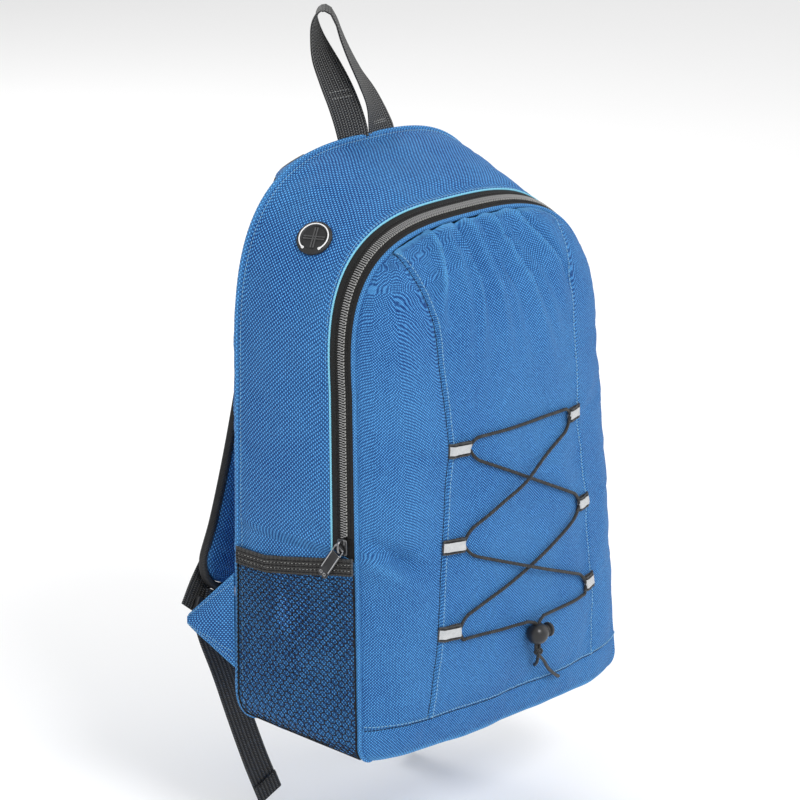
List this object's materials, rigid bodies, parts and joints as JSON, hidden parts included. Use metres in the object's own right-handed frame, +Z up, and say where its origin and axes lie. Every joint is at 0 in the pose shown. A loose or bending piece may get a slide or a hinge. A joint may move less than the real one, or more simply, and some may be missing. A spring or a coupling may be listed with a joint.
{
  "type": "daypack",
  "caption": "Small fabric daypack with a zipped front, elastic cord lacing with a cord lock, mesh side pockets, padded shoulder straps and a webbing haul loop.",
  "frame": {"origin": "centre of the base's underside, under the front edge plane's and back panel's middle", "axes": "+Z up, the laced front faces -Y, the back panel and straps are at +Y, +X is the right-hand side seen from the front"},
  "size_m": [0.329, 0.2339, 0.64],
  "materials": {
    "body_cloth": "woven",
    "black_webbing": "woven",
    "pocket_mesh": "knitted mesh",
    "zip_coil": "satin",
    "dark_metal": "gloss",
    "spring_steel": "bright",
    "moulded_plastic": "satin",
    "rubber": "matt",
    "reflective_tape": "glass-bead sheen",
    "elastic_cord": "braided",
    "foam": "matt"
  },
  "bodies": {
    "shell": {"back_panel": "body_cloth", "back_foam": "foam", "side_top_gusset": "body_cloth", "base_panel": "body_cloth", "front_base_band": "body_cloth", "front_lower_centre": "body_cloth", "front_lower_left": "body_cloth", "front_lower_right": "body_cloth", "left_mesh_pocket": "pocket_mesh", "right_mesh_pocket": "pocket_mesh", "left_pocket_elastic": "black_webbing", "right_pocket_elastic": "black_webbing", "zip_tape_outer": "black_webbing", "zip_coil_outer": "zip_coil", "cable_port": "rubber", "left_middle_cord_loop": "reflective_tape", "right_middle_cord_loop": "reflective_tape", "left_lower_cord_loop": "reflective_tape", "right_lower_cord_loop": "reflective_tape", "elastic_cord": "elastic_cord", "cord_knot": "elastic_cord", "left_wing": "body_cloth", "right_wing": "body_cloth", "left_adjuster_webbing": "black_webbing", "right_adjuster_webbing": "black_webbing"},
    "front_flap": {"front_flap_centre": "body_cloth", "front_flap_left": "body_cloth", "front_flap_right": "body_cloth", "zip_tape_inner": "black_webbing", "zip_coil_inner": "zip_coil", "left_upper_cord_loop": "reflective_tape", "right_upper_cord_loop": "reflective_tape"},
    "zip_slider": {"zip_slider": "dark_metal"},
    "zip_pull": {"zip_pull": "dark_metal"},
    "haul_loop": {"haul_loop": "black_webbing"},
    "cord_lock": {"cord_lock_barrel": "moulded_plastic", "cord_lock_spring": "spring_steel"},
    "cord_lock_plunger": {"cord_lock_plunger": "moulded_plastic"},
    "left_strap": {"left_strap_pad": "body_cloth", "left_strap_binding": "black_webbing", "left_buckle_tab": "black_webbing", "left_ladder_lock": "moulded_plastic"},
    "right_strap": {"right_strap_pad": "body_cloth", "right_strap_binding": "black_webbing", "right_buckle_tab": "black_webbing", "right_ladder_lock": "moulded_plastic"},
    "left_tail": {"left_webbing_tail": "black_webbing"},
    "right_tail": {"right_webbing_tail": "black_webbing"}
  },
  "joints": [
    {"name": "front_flap_open", "type": "hinge", "parent": "shell", "child": "front_flap", "pos_m": [0, -0.0995, 0.1715], "axis": [1, 0, 0], "range_deg": [0, 90], "deforming": ["elastic_cord"]},
    {"name": "zip_slider_travel", "type": "slide", "parent": "shell", "child": "zip_slider", "axis": [0.0489, 0.0547, 0.9973], "range_m": [0, 0.11]},
    {"name": "zip_pull_swing", "type": "hinge", "parent": "zip_slider", "child": "zip_pull", "pos_m": [-0.14773, -0.04138, 0.16625], "axis": [-0.0296, 0.8184, 0.5739], "range_deg": [0, 140]},
    {"name": "haul_loop_flop", "type": "hinge", "parent": "shell", "child": "haul_loop", "pos_m": [0, 0.067, 0.4422], "axis": [1, 0, 0], "range_deg": [-60, 80], "stiffness_Nm_per_rad": 0.15},
    {"name": "cord_lock_slide", "type": "slide", "parent": "shell", "child": "cord_lock", "axis": [0, 0, 1], "range_m": [0, 0.01], "stiffness_N_per_m": 40},
    {"name": "cord_lock_press", "type": "slide", "parent": "cord_lock", "child": "cord_lock_plunger", "axis": [-1, 0, 0], "range_m": [0, 0.0022], "stiffness_N_per_m": 400, "deforming": ["cord_lock_spring"]},
    {"name": "left_strap_swing", "type": "hinge", "parent": "shell", "child": "left_strap", "pos_m": [-0.062, 0.0735, 0.424], "axis": [1, 0, 0], "range_deg": [0, 25], "stiffness_Nm_per_rad": 0.4, "deforming": ["left_adjuster_webbing"]},
    {"name": "left_tail_swing", "type": "hinge", "parent": "left_strap", "child": "left_tail", "pos_m": [-0.13484, 0.116, 0.07494], "axis": [1, 0, 0], "range_deg": [-4, 40], "stiffness_Nm_per_rad": 0.03},
    {"name": "right_strap_swing", "type": "hinge", "parent": "shell", "child": "right_strap", "pos_m": [0.062, 0.0735, 0.424], "axis": [1, 0, 0], "range_deg": [0, 25], "stiffness_Nm_per_rad": 0.4, "deforming": ["right_adjuster_webbing"]},
    {"name": "right_tail_swing", "type": "hinge", "parent": "right_strap", "child": "right_tail", "pos_m": [0.13484, 0.116, 0.07494], "axis": [1, 0, 0], "range_deg": [-4, 40], "stiffness_Nm_per_rad": 0.03}
  ]
}
